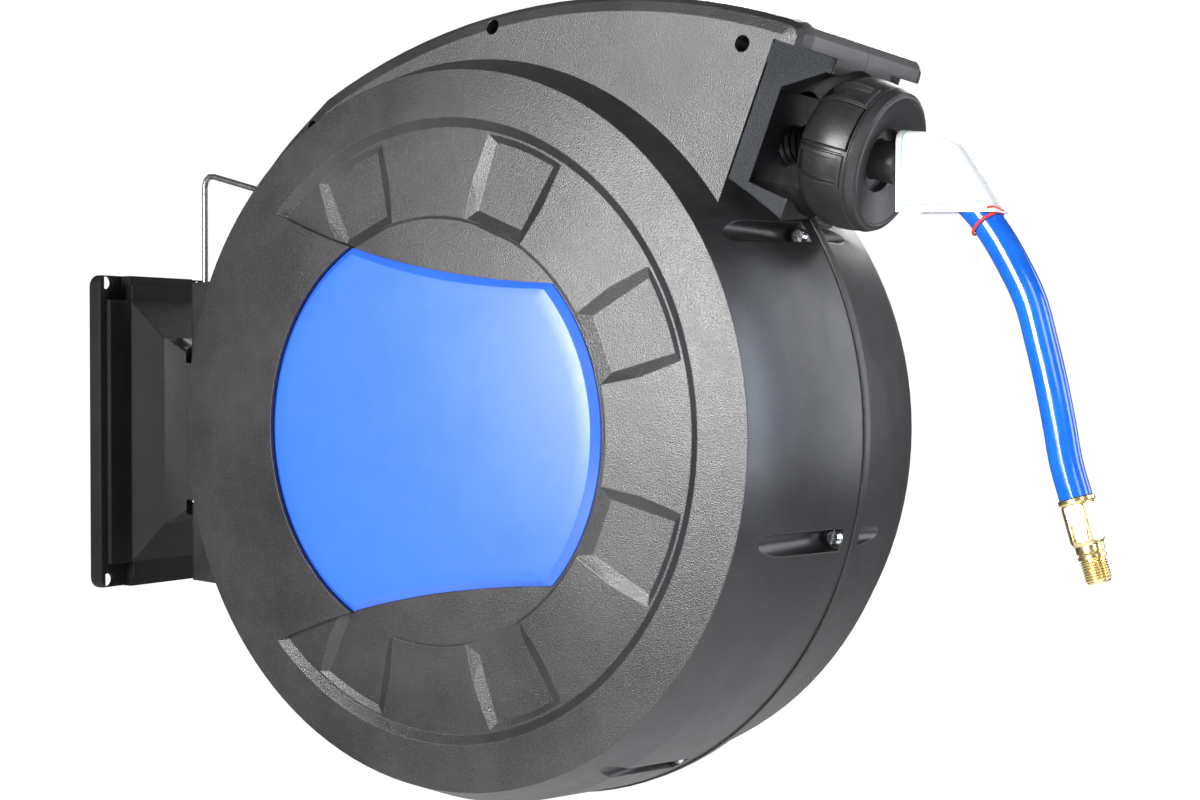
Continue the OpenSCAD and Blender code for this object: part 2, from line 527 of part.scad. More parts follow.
wall_bracket();
hinge_bushes();
pivot_pin();
hinge_yoke();
yoke_screws();
front_shell();
rear_shell();
badge();
case_screws();
mouth_frame();
roller_pins();
frame_screws();
roller_upper();
roller_lower();
roller_near();
roller_far();
stopper_near();
stopper_far();
stopper_nose();
stopper_screws();
hose_lead();
hose_tail();
hose_ferrule();
hose_fitting();
hang_tag();
tag_tie();
wound_hose();
drum_spool();
drum_flange();
drum_bushes();
spring_cover();
power_spring();
ratchet_ring();
hub_elbow();
axle_tube();
seal_rings();
inlet_stem();
ratchet_pawl();
pawl_pin();
pawl_spring();
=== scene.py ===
import bpy
import bmesh
import json
import math
from mathutils import Matrix, Vector


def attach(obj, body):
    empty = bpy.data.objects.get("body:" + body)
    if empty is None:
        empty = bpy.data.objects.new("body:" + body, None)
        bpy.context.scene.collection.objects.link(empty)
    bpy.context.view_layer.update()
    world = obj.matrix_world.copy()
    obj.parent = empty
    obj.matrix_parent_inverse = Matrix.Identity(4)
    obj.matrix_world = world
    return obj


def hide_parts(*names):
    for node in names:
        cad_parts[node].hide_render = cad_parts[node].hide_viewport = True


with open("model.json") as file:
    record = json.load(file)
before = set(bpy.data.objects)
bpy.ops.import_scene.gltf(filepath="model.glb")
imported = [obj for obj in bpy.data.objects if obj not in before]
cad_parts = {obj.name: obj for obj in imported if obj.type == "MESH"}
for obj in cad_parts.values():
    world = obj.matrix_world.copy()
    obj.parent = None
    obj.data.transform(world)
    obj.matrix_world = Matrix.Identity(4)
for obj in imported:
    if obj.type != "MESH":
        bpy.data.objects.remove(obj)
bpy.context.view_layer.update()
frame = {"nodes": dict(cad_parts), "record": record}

N = frame["nodes"]
scene = bpy.context.scene
scene.view_settings.view_transform = "Standard"
MM = 0.001

# drum axis, and the frame in which the case is drawn: x right, y up, z towards the badge
CX, CZ = 0.340, 0.008
CASE = Matrix(((1, 0, 0, CX), (0, 0, -1, 0), (0, 1, 0, CZ), (0, 0, 0, 1)))


def case(x, y, z):
    """A point of the case drawing, in millimetres, as a point of the row frame."""
    return Vector((CX + x * MM, -z * MM, CZ + y * MM))


# ---------- camera ----------
EYE = Vector((0.98605, -0.86220, 0.04163))
TARGET = Vector((0.41487, -0.04156, 0.02540))
cam = bpy.data.objects.new("camera", bpy.data.cameras.new("camera"))
scene.collection.objects.link(cam)
scene.camera = cam
cam.data.sensor_width, cam.data.lens = 36, 54
cam.data.clip_start, cam.data.clip_end = 0.01, 100
cam.location = EYE
cam.rotation_mode = "QUATERNION"
cam.rotation_quaternion = (TARGET - EYE).to_track_quat("-Z", "Y")


# ---------- mesh helpers ----------
def obj_from(name, verts, faces, smooth=True, angle=35):
    me = bpy.data.meshes.new(name)
    me.from_pydata([tuple(v) for v in verts], [], faces)
    me.validate()
    bm = bmesh.new()
    bm.from_mesh(me)
    bmesh.ops.remove_doubles(bm, verts=bm.verts, dist=1e-7)
    bmesh.ops.recalc_face_normals(bm, faces=bm.faces)
    bm.to_mesh(me)
    bm.free()
    o = bpy.data.objects.new(name, me)
    scene.collection.objects.link(o)
    if smooth:
        me.polygons.foreach_set("use_smooth", [True] * len(me.polygons))
        me.set_sharp_from_angle(angle=math.radians(angle))
    return o


def join(parts):
    """One object out of several lists of vertices and faces."""
    verts, faces = [], []
    for v, f in parts:
        n = len(verts)
        verts += list(v)
        faces += [tuple(i + n for i in q) for q in f]
    return verts, faces


def frames_along(pts):
    """Two side vectors at each point of a path, without twist."""
    t = [(pts[min(i + 1, len(pts) - 1)] - pts[max(i - 1, 0)]).normalized() for i in range(len(pts))]
    s = t[0].cross(Vector((0, 1, 0)))
    s = (s if s.length > 1e-3 else t[0].cross(Vector((1, 0, 0)))).normalized()
    out = []
    for i in range(len(pts)):
        if i:
            s = (s - t[i] * s.dot(t[i])).normalized()
        out.append((s, t[i].cross(s)))
    return out


def tube(pts, r, n=24):
    """A solid tube along a path. r is one radius or one for each point."""
    rr = r if isinstance(r, (list, tuple)) else [r] * len(pts)
    fr = frames_along(pts)
    verts, faces = [], []
    for p, q, (s, u) in zip(pts, rr, fr):
        for k in range(n):
            a = 2 * math.pi * k / n
            verts.append(p + q * (math.cos(a) * s + math.sin(a) * u))
    for i in range(len(pts) - 1):
        for k in range(n):
            faces.append((i * n + k, i * n + (k + 1) % n, (i + 1) * n + (k + 1) % n, (i + 1) * n + k))
    faces.append(tuple(range(n - 1, -1, -1)))
    faces.append(tuple((len(pts) - 1) * n + k for k in range(n)))
    return verts, faces


def between(p, q, t0, t1, x):
    """The point between p, where x is t0, and q, where x is t1."""
    return p * ((t1 - x) / (t1 - t0)) + q * ((x - t0) / (t1 - t0))


def smooth_path(pts, steps):
    """A centripetal curve through the points."""
    p = [2 * pts[0] - pts[1]] + list(pts) + [2 * pts[-1] - pts[-2]]
    out = []
    for i in range(1, len(p) - 2):
        t = [0.0]
        for j in range(3):
            t.append(t[-1] + max((p[i + j] - p[i + j - 1]).length, 1e-9) ** 0.5)
        for k in range(steps + (i == len(p) - 3)):
            x = t[1] + (t[2] - t[1]) * k / steps
            a = [between(p[i - 1 + j], p[i + j], t[j], t[j + 1], x) for j in range(3)]
            b = [between(a[j], a[j + 1], t[j], t[j + 2], x) for j in range(2)]
            out.append(between(b[0], b[1], t[1], t[2], x))
    return out


def step01(a, b, x):
    t = min(1.0, max(0.0, (x - a) / (b - a)))
    return t * t * (3 - 2 * t)


# ---------- materials ----------
class Nodes:
    """Short names for building a node tree."""

    def __init__(self, name, color, rough=0.5, metal=0.0, **more):
        self.mat = bpy.data.materials.new(name)
        self.mat.use_nodes = True
        self.t = self.mat.node_tree
        self.b = next(n for n in self.t.nodes if n.type == "BSDF_PRINCIPLED")
        self.set(self.b, {"Base Color": (*color, 1), "Roughness": rough, "Metallic": metal})
        self.set(self.b, {k.replace("_", " "): v for k, v in more.items()})

    def set(self, n, values):
        for k, v in values.items():
            n.inputs[k].default_value = v
        return n

    def link(self, a, b):
        self.t.links.new(a, b)

    def coord(self, kind="Object"):
        return self.t.nodes.new("ShaderNodeTexCoord").outputs[kind]

    def noise(self, scale, detail=2.0, rough=0.5, vec=None, dist=0.0):
        values = {"Scale": scale, "Detail": detail, "Roughness": rough, "Distortion": dist}
        n = self.set(self.t.nodes.new("ShaderNodeTexNoise"), values)
        self.link(vec or self.coord(), n.inputs["Vector"])
        return n.outputs["Fac"]

    def math(self, op, a, b=0.0, clamp=False):
        n = self.t.nodes.new("ShaderNodeMath")
        n.operation, n.use_clamp = op, clamp
        for i, v in enumerate((a, b)):
            if isinstance(v, (int, float)):
                n.inputs[i].default_value = v
            else:
                self.link(v, n.inputs[i])
        return n.outputs[0]

    def fit(self, x, a, b, lo=0.0, hi=1.0):
        n = self.t.nodes.new("ShaderNodeMapRange")
        n.interpolation_type = "SMOOTHSTEP"
        self.set(n, {"From Min": a, "From Max": b, "To Min": lo, "To Max": hi})
        self.link(x, n.inputs["Value"])
        return n.outputs[0]

    def mix(self, fac, a, b):
        n = self.t.nodes.new("ShaderNodeMix")
        n.data_type = "RGBA"
        for i, v in ((6, a), (7, b)):
            if isinstance(v, tuple):
                n.inputs[i].default_value = (*v, 1)
            else:
                self.link(v, n.inputs[i])
        self.link(fac, n.inputs[0])
        return n.outputs[2]

    def bump(self, height, strength, distance):
        n = self.set(self.t.nodes.new("ShaderNodeBump"), {"Distance": distance})
        if isinstance(strength, (int, float)):
            n.inputs["Strength"].default_value = strength
        else:
            self.link(strength, n.inputs["Strength"])
        self.link(height, n.inputs["Height"])
        last = self.b.inputs["Normal"]
        if last.is_linked:
            self.link(last.links[0].from_socket, n.inputs["Normal"])
        self.link(n.outputs[0], last)
        return n

    def color(self, c):
        self.link(c, self.b.inputs["Base Color"])

    def rough(self, r):
        self.link(r, self.b.inputs["Roughness"])

def plastic(name, dark, light, grain=0.35, grain_scale=900, rough=(0.42, 0.6), only_flat=False,
            soft_edge=0.0, wave=0.10, **more):
    """Moulded plastic: two close colours, a fine grain, slight waves, and worn round edges if asked for."""
    m = Nodes(name, dark, rough[0], **more)
    if soft_edge:
        # moulded edges catch the light as narrow round edges
        bevel = m.t.nodes.new("ShaderNodeBevel")
        bevel.samples = 4
        bevel.inputs["Radius"].default_value = soft_edge
        m.link(bevel.outputs[0], m.b.inputs["Normal"])
    patch = m.noise(14, 3, 0.6)
    fine = m.noise(grain_scale, 2, 0.6)
    both = m.math("ADD", m.math("MULTIPLY", patch, 0.5), m.math("MULTIPLY", fine, 0.5))
    m.color(m.mix(m.fit(both, 0.36, 0.64), dark, light))
    m.rough(m.fit(m.noise(60, 3, 0.6), 0.3, 0.7, rough[0], rough[1]))
    s = grain
    if only_flat:
        sep = m.t.nodes.new("ShaderNodeSeparateXYZ")
        m.link(m.coord("Normal"), sep.inputs[0])
        s = m.fit(m.math("ABSOLUTE", sep.outputs[1]), 0.35, 0.8, grain * 0.15, grain)
    m.bump(fine, s, 0.0005)
    m.bump(m.noise(22, 2, 0.5), wave, 0.0015)
    return m.mat


M = {}
M["case"] = plastic("case_plastic", (0.009, 0.0082, 0.0087), (0.034, 0.031, 0.032), grain=0.5,
                    grain_scale=1400, rough=(0.33, 0.38), only_flat=True, soft_edge=0.0010, wave=0.02,
                    Specular_IOR_Level=0.8)
M["bracket"] = plastic("bracket_plastic", (0.007, 0.006, 0.0065), (0.013, 0.0115, 0.012), grain=0.3,
                       grain_scale=1300, rough=(0.46, 0.56), soft_edge=0.0012, wave=0.03,
                       Specular_IOR_Level=0.22)
M["badge"] = plastic("badge_plastic", (0.018, 0.110, 0.68), (0.022, 0.124, 0.74), grain=0.10,
                     grain_scale=1500, rough=(0.38, 0.42), wave=0.02, Specular_IOR_Level=0.85)
M["stopper"] = plastic("stopper_plastic", (0.018, 0.0165, 0.017), (0.030, 0.027, 0.028), grain=0.12,
                       grain_scale=700, rough=(0.34, 0.42), soft_edge=0.0004)
M["guide"] = plastic("guide_nylon", (0.004, 0.004, 0.005), (0.009, 0.009, 0.010), grain=0.2,
                     grain_scale=800, rough=(0.4, 0.55))
M["bush"] = plastic("bush_acetal", (0.62, 0.60, 0.52), (0.72, 0.70, 0.62), grain=0.05,
                    grain_scale=900, rough=(0.28, 0.4))
M["tie"] = plastic("tie_red", (0.62, 0.02, 0.02), (0.78, 0.05, 0.04), grain=0.08,
                   grain_scale=1500, rough=(0.3, 0.4))
M["rubber"] = plastic("seal_rubber", (0.012, 0.012, 0.012), (0.022, 0.022, 0.022), grain=0.1,
                      grain_scale=1500, rough=(0.5, 0.65))


def hose_material():
    m = Nodes("hose_polyurethane", (0.004, 0.16, 0.80), 0.16, Coat_Weight=0.5, Coat_Roughness=0.06, IOR=1.5)
    m.color(m.mix(m.fit(m.noise(40, 3, 0.6), 0.35, 0.65), (0.004, 0.105, 0.56), (0.008, 0.135, 0.68)))
    m.rough(m.fit(m.noise(120, 3, 0.6), 0.3, 0.7, 0.12, 0.22))
    m.bump(m.noise(90, 2, 0.5), 0.10, 0.0008)
    return m.mat


def metal(name, dark, light, rough=(0.2, 0.35), streak=(1, 1, 1), bump=0.05, scale=300):
    m = Nodes(name, dark, rough[0], 1.0)
    mp = m.t.nodes.new("ShaderNodeMapping")
    mp.inputs["Scale"].default_value = streak
    m.link(m.coord(), mp.inputs["Vector"])
    n1 = m.noise(scale, 3, 0.6, vec=mp.outputs[0])
    m.color(m.mix(m.fit(m.noise(30, 3, 0.6), 0.3, 0.7), dark, light))
    m.rough(m.fit(n1, 0.3, 0.7, rough[0], rough[1]))
    m.bump(n1, bump, 0.0002)
    return m.mat


M["hose"] = hose_material()
M["brass"] = metal("brass_turned", (0.88, 0.68, 0.30), (0.95, 0.79, 0.42), (0.20, 0.32))
M["steel"] = metal("steel_rod", (0.26, 0.25, 0.26), (0.38, 0.37, 0.38), (0.30, 0.44), streak=(1, 1, 0.1))
M["screw"] = metal("zinc_screw", (0.68, 0.69, 0.72), (0.82, 0.82, 0.84), (0.18, 0.3))
M["spring"] = metal("spring_steel", (0.20, 0.21, 0.25), (0.32, 0.33, 0.38), (0.25, 0.4), streak=(1, 1, 8))


def paper_material():
    m = Nodes("tag_paper", (0.93, 0.93, 0.91), 0.45, Coat_Weight=0.15, Coat_Roughness=0.2)
    paper = m.mix(m.fit(m.noise(25, 3, 0.6), 0.3, 0.7), (0.90, 0.90, 0.88), (0.95, 0.95, 0.94))
    # a thin green frame line along the tag's left and lower edges
    xyz = m.t.nodes.new("ShaderNodeSeparateXYZ")
    m.link(m.coord(), xyz.inputs[0])
    x, z = xyz.outputs[0], xyz.outputs[2]
    line_x, line_z, end_x, half, corner = 0.5819, 0.1268, 0.6275, 0.0003, 0.0002
    across = m.math("LESS_THAN", m.math("ABSOLUTE", m.math("SUBTRACT", x, line_x)), half)
    down = m.math("LESS_THAN", m.math("ABSOLUTE", m.math("SUBTRACT", z, line_z)), half)
    inside = m.math("MULTIPLY", m.math("GREATER_THAN", x, line_x - corner), m.math("LESS_THAN", x, end_x))
    left = m.math("MULTIPLY", across, m.math("GREATER_THAN", z, line_z - corner))
    frame_line = m.math("MAXIMUM", left, m.math("MULTIPLY", down, inside))
    m.color(m.mix(frame_line, paper, (0.05, 0.52, 0.36)))
    m.rough(m.fit(m.noise(80, 2, 0.5), 0.3, 0.7, 0.38, 0.52))
    m.bump(m.noise(45, 3, 0.6), 0.25, 0.0006)
    return m.mat


M["paper"] = paper_material()
record_slots = {s["node"]: s["material_slot"] for s in frame["record"]["subparts"]}


def finish_node(o, mat):
    o.data.materials.clear()
    o.data.materials.append(mat)


for name, o in N.items():
    finish_node(o, M[record_slots[name]])
    o.data.polygons.foreach_set("use_smooth", [True] * len(o.data.polygons))
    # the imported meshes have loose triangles: join them, part them at real edges, and shade evenly between
    weld = o.modifiers.new("weld", "WELD")
    weld.merge_threshold = 2e-6
    part = o.modifiers.new("part", "EDGE_SPLIT")
    part.use_edge_sharp, part.split_angle = False, math.radians(17)
    o.modifiers.new("even_shading", "WEIGHTED_NORMAL")


def piece(name, geo, slot, body, replaces=(), angle=35):
    o = obj_from(name, geo[0], geo[1], angle=angle)
    o.data.materials.append(M[slot])
    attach(o, body)
    if replaces:
        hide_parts(*replaces)
    return o


# ---------- free hose ----------
# the free hose's route from the ball to the ferrule, as (x, z) in millimetres
TAIL = [(555.2, 155.8), (565.6, 152.4), (576.1, 149.0), (585.2, 146.1), (597.9, 140.7),
        (609.5, 133.3), (619.7, 124.0), (628.1, 113.2), (637.5, 98), (648, 77),
        (654, 56), (659, 36), (663.4, 15), (666.9, -3.7), (672, -21)]
tail = smooth_path([Vector((x * MM, 0, z * MM)) for x, z in TAIL], 6)
HOSE_R = 0.0082


hose = piece("free_hose", tube(tail, HOSE_R, 40), "hose", "reel", ["hose_tail"])

# ---------- stopper ball ----------
# the ball's centre in the case drawing, in millimetres, and how far its axis dips with the hose
STOP_X, STOP_Y, STOP_TILT = 208.5, 150.0, math.radians(18)
STOP = (CASE @ Matrix.Translation((STOP_X * MM, STOP_Y * MM, 0))
        @ Matrix.Rotation(-STOP_TILT, 4, "Z"))


def spread(marks, most):
    """The marks with even steps of at most the given size between them."""
    out = []
    for a, b in zip(marks, marks[1:]):
        k = max(1, math.ceil((b - a) / most))
        out += [a + (b - a) * i / k for i in range(k)]
    return out + [marks[-1]]


def level(x, edges, ramp):
    """1 between the two edges, 0 outside, with a straight ramp at each."""
    return max(0.0, min(1.0, (x - edges[0]) / ramp, (edges[1] - x) / ramp))


# (place along the axis, radius) of the ball's outline
BALL = [(-20, 20), (-16, 27.5), (-11, 34), (-5, 38), (1, 40), (9, 40.2), (18, 38.5), (24, 36)]


def ball_radius(u):
    pts = [(BALL[0][0] - 3, 15)] + BALL + [(BALL[-1][0] + 4, 33)]
    for i in range(1, len(pts) - 2):
        if u <= pts[i + 1][0] + 1e-9:
            (x0, y0), (x1, y1), (x2, y2), (x3, y3) = pts[i - 1:i + 3]
            t = (u - x1) / (x2 - x1)
            m1, m2 = (y2 - y0) / (x2 - x0) * (x2 - x1), (y3 - y1) / (x3 - x1) * (x2 - x1)
            return ((2 * t**3 - 3 * t**2 + 1) * y1 + (t**3 - 2 * t**2 + t) * m1
                    + (3 * t**2 - 2 * t**3) * y2 + (t**3 - t**2) * m2)
    return pts[-2][1]


# the angles, in degrees, of the framed panels, the plain panel and the slot between them,
# and the stretch of the axis that they take
FRAMED, PLAIN, SLOT, U_SPAN = ((38, 61), (-29, -3.4)), (1.2, 36.4), (-2.6, 0.4), (-13, 17)


def ball_relief(u, a):
    """How far the surface stands out from the turned shape, in mm."""
    h = 0.0
    for lo, hi in FRAMED:
        out = min(level(a, (lo, hi), 0.5), level(u, U_SPAN, 0.4))
        inn = min(level(a, (lo + 3.2, hi - 3.2), 0.6), level(u, (U_SPAN[0] + 2.4, U_SPAN[1] - 2.4), 0.5))
        h += 1.1 * out - 3.2 * inn
    ring = min(level(a, (PLAIN[0] - 1, PLAIN[1] + 1), 0.4), level(u, (U_SPAN[0] - 1, U_SPAN[1] + 0.8), 0.4))
    h += -1.6 * ring + 1.9 * min(level(a, PLAIN, 0.5), level(u, U_SPAN, 0.4))
    h -= 3.0 * min(level(a, SLOT, 0.4), level(u, (U_SPAN[0], U_SPAN[1] - 2), 0.5))
    h += 0.7 * level(u, (19.4, 24.4), 0.5) - 0.5 * level(u, (18.2, 19.4), 0.4)
    return h


def stopper_ball():
    # angles are counted from the badge side towards the top; the far half repeats the near one
    marks = [-90, -89.6]
    for lo, hi in FRAMED[::-1]:
        marks += [lo, lo + 0.5, lo + 3.2, lo + 3.8, hi - 3.8, hi - 3.2, hi - 0.5, hi]
    marks += [PLAIN[0] - 1, PLAIN[0], PLAIN[0] + 0.5]
    marks += [PLAIN[1] - 0.5, PLAIN[1], PLAIN[1] + 0.6, PLAIN[1] + 1]
    marks += [SLOT[0], SLOT[0] + 0.4, SLOT[1] - 0.4, SLOT[1], 89.6, 90]
    half = spread(sorted(set(marks)), 3.0)
    angles = half[:-1] + [a + 180 for a in half[:-1]]
    stops = [-20, -16]
    stops += [U_SPAN[0] + d for d in (-1, -0.6, 0, 0.4, 2.4, 2.9)]
    stops += [U_SPAN[1] + d for d in (-2.9, -2.4, -0.4, 0, 0.4, 0.8)]
    stops += [18.2, 18.6, 19.0, 19.4, 19.9, 23.6]
    us = spread(stops, 1.6)
    rows = [[(9.9, -20)] * len(angles), [(15, -20.2)] * len(angles)]
    for u in us:
        rows.append([(ball_radius(u) + ball_relief(u, a if a <= 90 else a - 180), u) for a in angles])
    # rim, dished front, recess, a dark sleeve round the hose that is painted shade deep in the bore, and the bore
    rim = [(36.1, 24.2), (35.4, 24.7), (34.2, 24.8), (33.4, 24.5), (32.9, 24.0)]
    dish = [(30, 23.3), (25, 22.0), (20, 20.6), (17.8, 20.0), (17.0, 19.4), (16.7, 18.4)]
    recess = [(16.4, 15.4), (11.2, 15.2), (10.8, 15.6), (10.6, 16.4)]
    # painted shade: a dark ring of the stopper's plastic round the hose, put where the hose only lies in shadow
    # inside the bore
    shade_sleeve = [(10.5, 28.6), (10.0, 30.0), (8.7, 31.2), (8.55, 32), (8.5, 36)]
    bore = [(8.27, 36.2), (8.27, -8)]
    for r, u in rim + dish + recess + shade_sleeve + bore:
        rows.append([(r, u)] * len(angles))
    n, verts, faces = len(angles), [], []
    for row in rows:
        for (r, u), a in zip(row, angles):
            q = math.radians(a)
            verts.append(STOP @ Vector((u * MM, r * MM * math.sin(q), r * MM * math.cos(q))))
    for i in range(len(rows)):
        for k in range(n):
            i2, k2 = (i + 1) % len(rows), (k + 1) % n
            faces.append((i * n + k, i * n + k2, i2 * n + k2, i2 * n + k))
    return verts, faces


piece("stopper_ball", stopper_ball(), "stopper", "reel", ["stopper_near", "stopper_far", "stopper_nose"], angle=24)

# bend guard on the hose between the roller frame and the ball: the hose comes straight out of the
# rollers and bends round an arc that meets the ball's axis LEAD_BACK behind the ball's centre
LEAD_R, LEAD_BACK = 70.0, 8.0
LEAD_RISE, GUARD_TO, GUARD_RUN = math.radians(7.71), math.radians(11.57), 3.9
GUARD_STEPS = 6


def guard_points():
    """Points of the hose's middle inside the guard: one on the straight, then the arc."""
    x0 = STOP_X - LEAD_BACK * math.cos(STOP_TILT) - LEAD_R * math.sin(STOP_TILT)
    y0 = STOP_Y + LEAD_BACK * math.sin(STOP_TILT) - LEAD_R * math.cos(STOP_TILT)
    arc = []
    for k in range(GUARD_STEPS + 1):
        a = -LEAD_RISE + (GUARD_TO + LEAD_RISE) * k / GUARD_STEPS
        arc.append((x0 + LEAD_R * math.sin(a), y0 + LEAD_R * math.cos(a)))
    x1, y1 = arc[0]
    return [(x1 - GUARD_RUN * math.cos(LEAD_RISE), y1 - GUARD_RUN * math.sin(LEAD_RISE))] + arc


GUARD_FINE = 4
guard = smooth_path([case(x, y, 0) for x, y in guard_points()], GUARD_FINE)
RIB_LOW, RIB_RISE = 0.0094, 0.0011
ribs = [RIB_LOW + RIB_RISE * (0.5 + 0.5 * math.cos(2 * math.pi * k / GUARD_FINE)) for k in range(len(guard))]
piece("bend_guard", tube(guard, ribs, 36), "guide", "reel")

# ---------- badge ----------
# the case face: its radius, how far its dome stands out, and the height of its rim
R_FACE, RISE, Z_FACE = 200.0, 16.0, 94.0


def dome(r):
    return Z_FACE + RISE * (1 - (r / R_FACE) ** 2)


def badge_edge(a):
    """Outline radius of the badge at an angle: a circle with two long shallow bites."""
    r = 117.0
    c, s = math.cos(a), abs(math.sin(a))
    b, k = 121 * c + 710 * s, 121**2 + 710**2 - 631.4**2
    if b * b > k:
        r = min(r, b - math.sqrt(b * b - k))
    return r


def badge_geo():
    n, bevel, thick = 480, 4.6, 3.9
    # (distance in from the outline, depth below the dome) down the bevelled edge
    rows = [(bevel, 0), (4.3, 0.06), (4.0, 0.24), (0.3, 2.7), (0.0, 2.95), (0.0, thick)]
    verts, faces = [case(0, 0, dome(0))], []
    inner = [0.08, 0.2, 0.35, 0.5, 0.65, 0.8, 0.92]
    rings = []
    for f in inner:
        rings.append([(f * (badge_edge(2 * math.pi * k / n) - bevel), 0.0) for k in range(n)])
    for d, drop in rows:
        rings.append([(badge_edge(2 * math.pi * k / n) - d, drop) for k in range(n)])
    for ring in rings:
        for k, (r, drop) in enumerate(ring):
            a = 2 * math.pi * k / n
            verts.append(case(r * math.cos(a), r * math.sin(a), dome(r) - drop))
    verts.append(case(0, 0, dome(0) - thick))
    for k in range(n):
        k2 = (k + 1) % n
        faces.append((0, 1 + k, 1 + k2))
        for i in range(len(rings) - 1):
            faces.append((1 + i * n + k, 1 + (i + 1) * n + k, 1 + (i + 1) * n + k2, 1 + i * n + k2))
        faces.append((len(verts) - 1, 1 + (len(rings) - 1) * n + k2, 1 + (len(rings) - 1) * n + k))
    return verts, faces


piece("badge_cover", badge_geo(), "badge", "reel", ["badge"], angle=50)


# ---------- brass ends ----------
def hex_radius(corner, a):
    q = math.fmod(a + 10 * math.pi, math.pi / 3) - math.pi / 6
    return corner * math.cos(math.pi / 6) / math.cos(q)


def turned(rows, m, n=72):
    """A solid ring from rows of (z, radius or function of the angle); the last row joins the first."""
    verts, faces = [], []
    for z, r in rows:
        for k in range(n):
            a = 2 * math.pi * k / n
            q = r(a) if callable(r) else r
            verts.append(m @ Vector((q * MM * math.cos(a), q * MM * math.sin(a), z * MM)))
    for i in range(len(rows)):
        i2 = (i + 1) % len(rows)
        for k in range(n):
            k2 = (k + 1) % n
            faces.append((i * n + k, i * n + k2, i2 * n + k2, i2 * n + k))
    return verts, faces


def hex_rows(z0, z1, corner, cut):
    """A hexagon with chamfered corners at both ends."""
    flat = corner * math.cos(math.pi / 6)
    ends = [(z0, 0.0), (z0 + cut * 0.5, 0.5), (z0 + cut, 1.0)]
    ends += [(z1 - cut, 1.0), (z1 - cut * 0.5, 0.5), (z1, 0.0)]
    for z, f in ends:
        top = flat + (corner - flat) * f
        yield z, (lambda a, top=top: min(top, hex_radius(corner, a)))


def thread_rows(z0, z1, major, depth, pitch):
    steps = round((z1 - z0) / pitch * 8)
    for i in range(steps + 1):
        z = z0 + (z1 - z0) * i / steps
        lead = step01(z0, z0 + pitch, z) * (1 - step01(z1 - pitch, z1, z))

        def radius(a, z=z, lead=lead):
            w = ((z - z0) / pitch - a / (2 * math.pi)) % 1.0
            return major - depth * (1 - lead) - depth * lead * (abs(2 * w - 1) ** 1.3)
        yield z, radius


END = Matrix.Translation((0.672, 0, -0.021)) @ Matrix.Rotation(math.radians(163.5), 4, "Y")
INLET = Matrix.Translation((CX, 0, CZ)) @ Matrix.Rotation(math.radians(-90), 4, "X")
PITCH, THREAD_DEPTH = 1.34, 0.7

ferrule_rows = [(0.05, 5.3), (0.05, 8.7), (0.5, 9.1), (2.1, 9.1), (2.6, 8.8), (2.7, 7.9)]
ferrule_rows += list(hex_rows(2.9, 22.8, 9.0, 1.3))
ferrule_rows += [(23.2, 7.4), (23.9, 7.2), (23.9, 5.3)]
ferrule = piece("crimp_ferrule", turned(ferrule_rows, END), "brass", "reel", ["hose_ferrule"], angle=30)

end_rows = [(3, 3.6), (3, 5.15), (23.9, 5.15), (24.0, 6.9), (24.6, 7.05), (27.4, 7.05), (27.8, 6.3)]
end_rows += [(28.6, 6.2), (29.0, 7.0), (30.6, 7.0), (31.0, 6.1)]
end_rows += list(thread_rows(31.2, 42.2, 6.55, THREAD_DEPTH, PITCH))
end_rows += [(43.0, 5.2), (43.0, 3.9), (42.7, 3.6)]
fitting = piece("threaded_end", turned(end_rows, END, 96), "brass", "reel", ["hose_fitting"], angle=30)

inlet_rows = [(92, 3.0), (92, 4.45), (101.0, 4.45), (101.06, 8.6), (101.4, 9.0), (103.0, 9.0), (103.4, 8.5)]
inlet_rows += list(hex_rows(103.5, 109.3, 8.6, 0.9))
inlet_rows += [(109.4, 6.0)]
inlet_rows += list(thread_rows(109.6, 122.6, 6.56, THREAD_DEPTH, PITCH))
inlet_rows += [(123.3, 5.2), (123.3, 3.4), (122.9, 3.0)]
piece("inlet_union", turned(inlet_rows, INLET, 96), "brass", "reel", ["inlet_stem"], angle=30)

# ---------- paper tag and tie ----------
# the folded tag's upper edge, in millimetres, from its left end to its lower right corner
TAG_TOP = [(578.5, 167), (590, 165.4), (599, 162.6), (607, 159.6),
           (611, 157.0), (618.6, 145.5), (630.9, 125.7), (634.2, 121.4)]
# where the tag starts and how long it is; the height of its lower edge there, and its fall along it
TAG_X, TAG_LONG = 578.5, 55.7
TAG_LOW, TAG_FALL = 123.8, 2.6
# steps up one leaf, and round the whole sheet
LEAF, WRAP = 8, 28


def along(points, x):
    for (x0, y0), (x1, y1) in zip(points, points[1:]):
        if x <= x1:
            return y0 + (y1 - y0) * (x - x0) / (x1 - x0)
    return points[-1][1]


